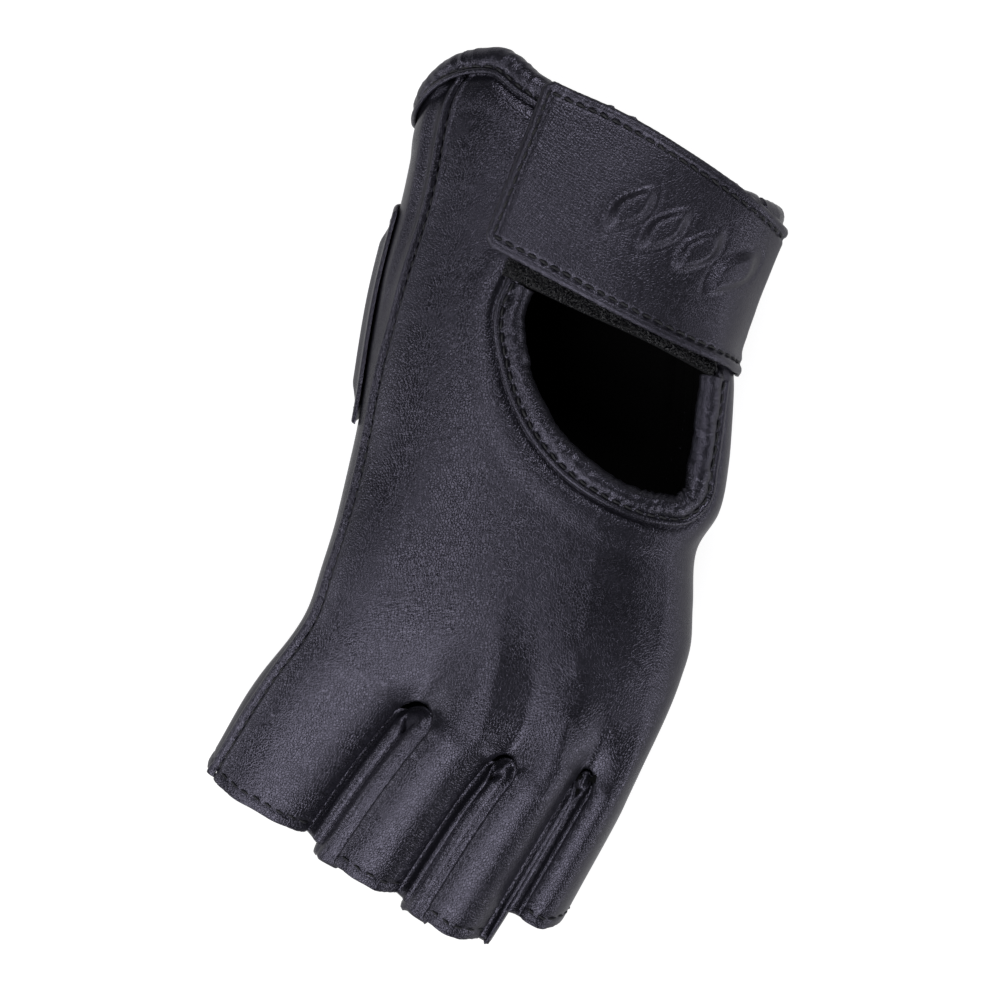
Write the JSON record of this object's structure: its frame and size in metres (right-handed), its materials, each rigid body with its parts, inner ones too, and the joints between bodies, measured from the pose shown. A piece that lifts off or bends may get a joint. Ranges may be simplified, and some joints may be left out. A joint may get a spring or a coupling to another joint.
{
  "type": "fingerless leather glove",
  "caption": "Left fingerless leather glove with a half-moon opening over the back of the hand, bound edges, a padded palm patch and a hook-and-loop wrist strap.",
  "frame": {"origin": "under the centre of the glove's box, on the surface that the palm lies on", "axes": "+Y towards the fingertips, +X towards the thumb side, +Z out of the back of the hand"},
  "size_m": [0.1272, 0.1862, 0.0505],
  "materials": {
    "black_leather": "fine pebble grain, semi-matte",
    "binding_leather": "smooth, slightly glossy, puckered",
    "hook_and_loop": "fuzzy, matte",
    "sewing_thread": "matte",
    "foam": "matte"
  },
  "bodies": {
    "glove": {"back_panel": "black_leather", "cuff_binding": "binding_leather", "cuff_thread": "sewing_thread", "index_hem_thread": "sewing_thread", "index_middle_fourchette": "black_leather", "little_hem_thread": "sewing_thread", "loop_tape": "hook_and_loop", "middle_hem_thread": "sewing_thread", "middle_ring_fourchette": "black_leather", "opening_binding": "binding_leather", "opening_thread": "sewing_thread", "palm_panel": "black_leather", "palm_patch": "black_leather", "palm_patch_foam": "foam", "palm_patch_thread": "sewing_thread", "ring_hem_thread": "sewing_thread", "ring_little_fourchette": "black_leather", "side_seam_thread": "sewing_thread", "strap_anchor": "black_leather", "thumb_hem_thread": "sewing_thread", "thumb_panel": "black_leather"},
    "strap": {"strap_outer": "black_leather", "strap_lining": "binding_leather", "strap_hook_tape": "hook_and_loop", "strap_thread": "sewing_thread"}
  },
  "joints": [
    {"name": "strap_open", "type": "hinge", "parent": "glove", "child": "strap", "pos_m": [-0.03012, -0.07116, 0.02802], "axis": [0.1985, -0.98, -0.0113], "range_deg": [0, 120]}
  ]
}
